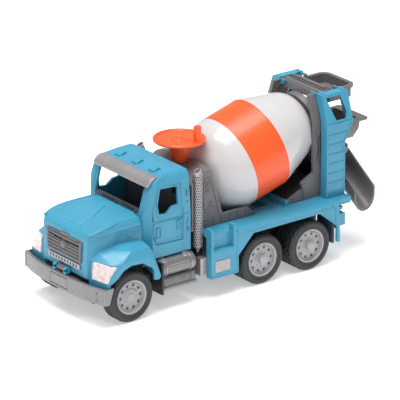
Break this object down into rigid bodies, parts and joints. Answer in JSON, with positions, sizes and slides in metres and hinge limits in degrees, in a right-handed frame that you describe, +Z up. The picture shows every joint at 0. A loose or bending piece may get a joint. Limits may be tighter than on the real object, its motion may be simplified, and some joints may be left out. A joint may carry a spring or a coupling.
{
  "type": "toy cement mixer truck",
  "caption": "Toy mixer truck with a tilted drum turned by a handwheel through bevel gears, a swivelling chute, rolling wheels and a bonneted cab.",
  "frame": {"origin": "middle of the truck's footprint at the ground, about halfway between its front and rear ends", "axes": "+X towards the truck's front, +Y towards its left side, +Z up"},
  "size_m": [0.3154, 0.114, 0.1484],
  "materials": {
    "blue_plastic": "semi-gloss moulded plastic, light blue",
    "orange_plastic": "semi-gloss moulded plastic, orange",
    "white_plastic": "gloss moulded plastic, white",
    "grey_plastic": "satin moulded plastic, warm grey",
    "black_plastic": "satin moulded plastic, black",
    "silver_finish": "silver metallised plastic",
    "rim_plastic": "satin light grey moulded plastic",
    "tyre_rubber": "matt black soft plastic",
    "interior_plastic": "matt dark grey plastic",
    "lens_clear": "clear ribbed plastic",
    "led_white": "clear epoxy lamp",
    "mudflap_plastic": "matt dark blue-grey plastic",
    "steel": "plain drawn steel",
    "gear_plastic": "natural acetal",
    "cell_wrap": "wrapped dry cells, no print",
    "board": "green circuit board",
    "speaker_metal": "dark speaker can and paper cone"
  },
  "bodies": {
    "root": {"chassis": "black_plastic", "battery_cover": "black_plastic", "equipment_ramp": "black_plastic", "battery_cells": "cell_wrap", "circuit_board": "board", "speaker": "speaker_metal", "grille": "grey_plastic", "winch_roller": "grey_plastic", "grab_bars": "grey_plastic", "pedestal": "grey_plastic", "rear_frame": "grey_plastic", "hopper": "grey_plastic", "discharge_funnel": "grey_plastic", "chute_retainer": "grey_plastic", "headlight_leds": "led_white", "bonnet": "blue_plastic", "cab": "blue_plastic", "tow_hooks": "blue_plastic", "bed": "blue_plastic", "tower_left": "blue_plastic", "tower_right": "blue_plastic", "cab_interior": "interior_plastic", "dashboard": "interior_plastic", "steering_wheel": "interior_plastic", "sun_visor": "silver_finish", "intake_strip": "silver_finish", "bumper": "silver_finish", "exhaust_stack_left": "silver_finish", "exhaust_stack_right": "silver_finish", "fuel_tank_left": "silver_finish", "fuel_tank_right": "silver_finish", "side_boxes": "silver_finish", "step_treads": "silver_finish", "headlight_lens_left": "lens_clear", "headlight_lens_right": "lens_clear", "rear_mudflaps": "mudflap_plastic", "screws": "steel"},
    "drum": {"drum_front": "white_plastic", "drum_band": "orange_plastic", "drum_rear": "white_plastic", "drum_gear": "gear_plastic"},
    "handwheel": {"handwheel": "orange_plastic", "pinion": "gear_plastic"},
    "chute": {"chute": "grey_plastic"},
    "power_switch": {"power_switch": "grey_plastic"},
    "front_wheels": {"axle_front": "steel", "rim_front_left": "rim_plastic", "rim_front_right": "rim_plastic", "tyre_front_left": "tyre_rubber", "tyre_front_right": "tyre_rubber"},
    "mid_wheels": {"axle_mid": "steel", "rim_mid_left": "rim_plastic", "rim_mid_right": "rim_plastic", "tyre_mid_left": "tyre_rubber", "tyre_mid_right": "tyre_rubber"},
    "rear_wheels": {"axle_rear": "steel", "rim_rear_left": "rim_plastic", "rim_rear_right": "rim_plastic", "tyre_rear_left": "tyre_rubber", "tyre_rear_right": "tyre_rubber"}
  },
  "joints": [
    {"name": "drum_spin", "type": "hinge", "parent": "root", "child": "drum", "pos_m": [-0.0205, 0, 0.095], "axis": [-0.9598, 0, 0.2807], "continuous": true},
    {"name": "handwheel_spin", "type": "hinge", "parent": "root", "child": "handwheel", "pos_m": [0.033, 0, 0.11], "axis": [0, 0, 1], "continuous": true},
    {"name": "chute_swing", "type": "hinge", "parent": "root", "child": "chute", "pos_m": [-0.136, 0, 0.08], "axis": [0, 0, 1], "range_deg": [0, 180]},
    {"name": "switch_slide", "type": "slide", "parent": "root", "child": "power_switch", "axis": [0, 1, 0], "range_m": [0, 0.004]},
    {"name": "front_wheels_spin", "type": "hinge", "parent": "root", "child": "front_wheels", "pos_m": [0.1225, 0, 0.022], "axis": [0, 1, 0], "continuous": true},
    {"name": "mid_wheels_spin", "type": "hinge", "parent": "root", "child": "mid_wheels", "pos_m": [-0.015, 0, 0.022], "axis": [0, 1, 0], "continuous": true},
    {"name": "rear_wheels_spin", "type": "hinge", "parent": "root", "child": "rear_wheels", "pos_m": [-0.0665, 0, 0.022], "axis": [0, 1, 0], "continuous": true}
  ],
  "couplings": [
    {"joint": "handwheel_spin", "follows": "drum_spin", "ratio": -1}
  ]
}
